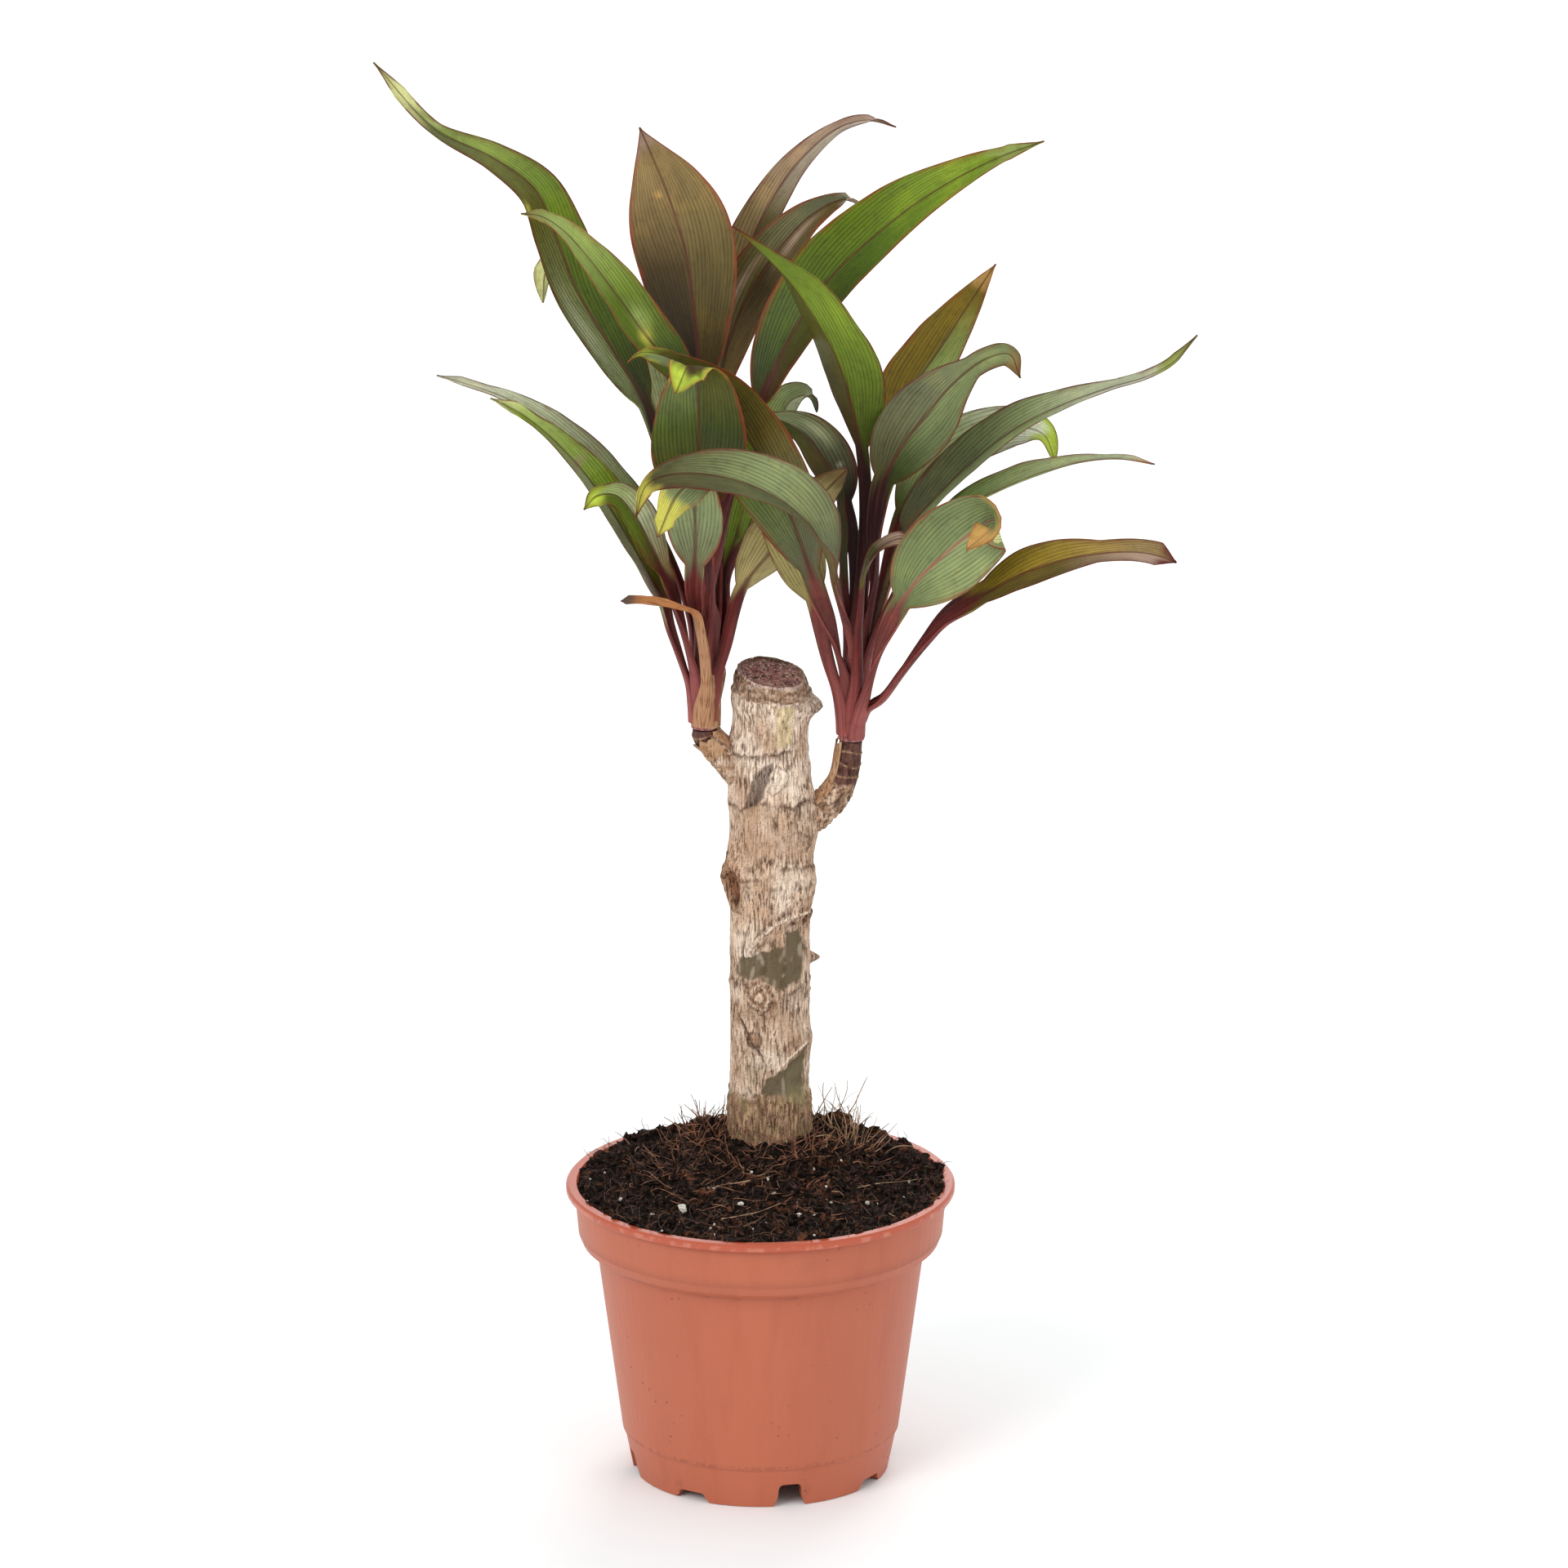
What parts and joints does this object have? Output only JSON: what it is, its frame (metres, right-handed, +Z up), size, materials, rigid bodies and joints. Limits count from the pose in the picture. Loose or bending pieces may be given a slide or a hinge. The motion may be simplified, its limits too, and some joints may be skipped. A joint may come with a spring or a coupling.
{
  "type": "potted ti plant",
  "caption": "Ti plant in a tapered terracotta-coloured plastic nursery pot: a sawn woody cane with side shoots of long arching leaves.",
  "frame": {"origin": "under the middle of the plant's box, on the surface that the pot stands on", "axes": "+Z up, -Y towards the front of the picture, +X to the right as seen from the front"},
  "size_m": [0.2508, 0.1464, 0.4464],
  "materials": {
    "terracotta_plastic": "satin, orange-brown, with a glossier lip",
    "peat": "near-black crumbly peat with pale grains and root fibres",
    "bark": "pale tan cracked bark with ring scars",
    "shoot_flesh": "soft reddish stem, satin",
    "leaf_green": "semi-gloss leaf, green flushed with maroon, fine lengthwise veins",
    "dry_leaf": "dry, matt, orange-brown"
  },
  "bodies": {
    "root": {"pot": "terracotta_plastic", "soil": "peat", "cane": "bark", "stem_left": "shoot_flesh", "stem_right": "shoot_flesh", "leaf_left_01": "leaf_green", "leaf_left_02": "leaf_green", "leaf_left_03": "leaf_green", "leaf_left_04": "leaf_green", "leaf_left_05": "leaf_green", "leaf_left_06": "leaf_green", "leaf_left_07": "leaf_green", "leaf_left_08": "leaf_green", "leaf_left_09": "leaf_green", "leaf_left_10": "leaf_green", "leaf_left_11": "leaf_green", "leaf_left_12": "leaf_green", "leaf_left_13": "leaf_green", "leaf_left_14": "leaf_green", "leaf_left_15": "leaf_green", "leaf_right_01": "leaf_green", "leaf_right_02": "leaf_green", "leaf_right_03": "leaf_green", "leaf_right_04": "leaf_green", "leaf_right_05": "leaf_green", "leaf_right_06": "leaf_green", "leaf_right_07": "leaf_green", "leaf_right_08": "leaf_green", "leaf_right_09": "leaf_green", "leaf_right_10": "leaf_green", "leaf_right_11": "leaf_green", "leaf_right_12": "leaf_green", "leaf_right_13": "leaf_green", "leaf_right_14": "leaf_green", "leaf_left_dry": "dry_leaf"}
  },
  "joints": []
}
